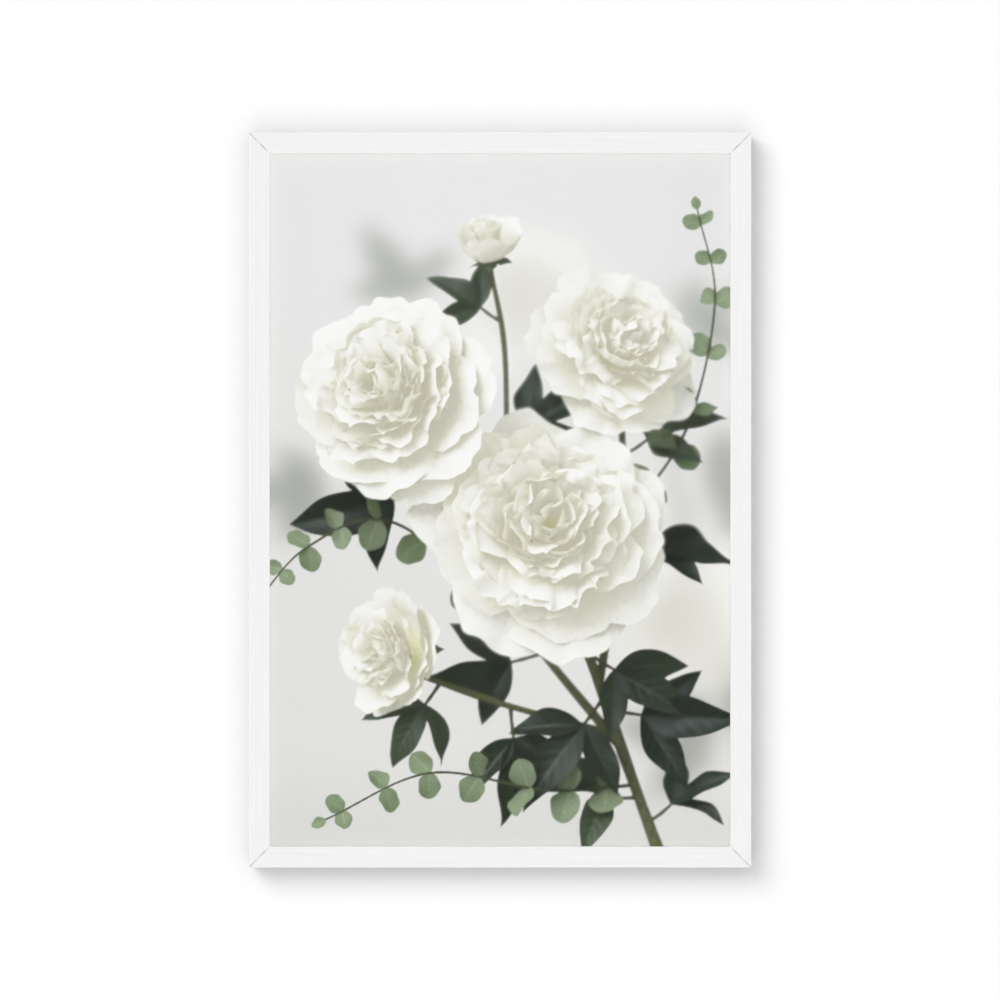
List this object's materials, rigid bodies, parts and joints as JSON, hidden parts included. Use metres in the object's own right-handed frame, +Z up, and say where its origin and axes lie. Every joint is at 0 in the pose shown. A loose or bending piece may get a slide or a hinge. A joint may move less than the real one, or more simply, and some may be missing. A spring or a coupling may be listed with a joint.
{
  "type": "framed print",
  "caption": "Upright print of white blossoms behind glass in a narrow white mitred wooden frame, with a sawtooth hanger on its back.",
  "frame": {"origin": "on the wall plane, where the wall's nail leaves the wall under the middle notch of the sawtooth hanger", "axes": "+Z up the picture, -Y out of its front into the room, +Y into the wall, +X to the right as seen from the front"},
  "size_m": [0.432, 0.0253, 0.632],
  "materials": {
    "white_paint": "satin",
    "clear_glass": "gloss",
    "printed_paper": "matte",
    "hardboard": "matte",
    "zinced_steel": "satin",
    "brassed_steel": "satin",
    "grey_rubber": "satin"
  },
  "bodies": {
    "root": {"rail_top": "white_paint", "rail_right": "white_paint", "rail_bottom": "white_paint", "rail_left": "white_paint", "glass": "clear_glass", "print": "printed_paper", "backing_board": "hardboard", "tab_top_1": "zinced_steel", "tab_top_2": "zinced_steel", "tab_right_1": "zinced_steel", "tab_right_2": "zinced_steel", "tab_right_3": "zinced_steel", "tab_bottom_1": "zinced_steel", "tab_bottom_2": "zinced_steel", "tab_left_1": "zinced_steel", "tab_left_2": "zinced_steel", "tab_left_3": "zinced_steel", "v_nail_top_right_outer": "zinced_steel", "v_nail_top_right_inner": "zinced_steel", "v_nail_bottom_right_outer": "zinced_steel", "v_nail_bottom_right_inner": "zinced_steel", "v_nail_bottom_left_outer": "zinced_steel", "v_nail_bottom_left_inner": "zinced_steel", "v_nail_top_left_outer": "zinced_steel", "v_nail_top_left_inner": "zinced_steel", "hanger": "brassed_steel", "hanger_nail_left": "brassed_steel", "hanger_nail_right": "brassed_steel", "bumper_left": "grey_rubber", "bumper_right": "grey_rubber"}
  },
  "joints": []
}
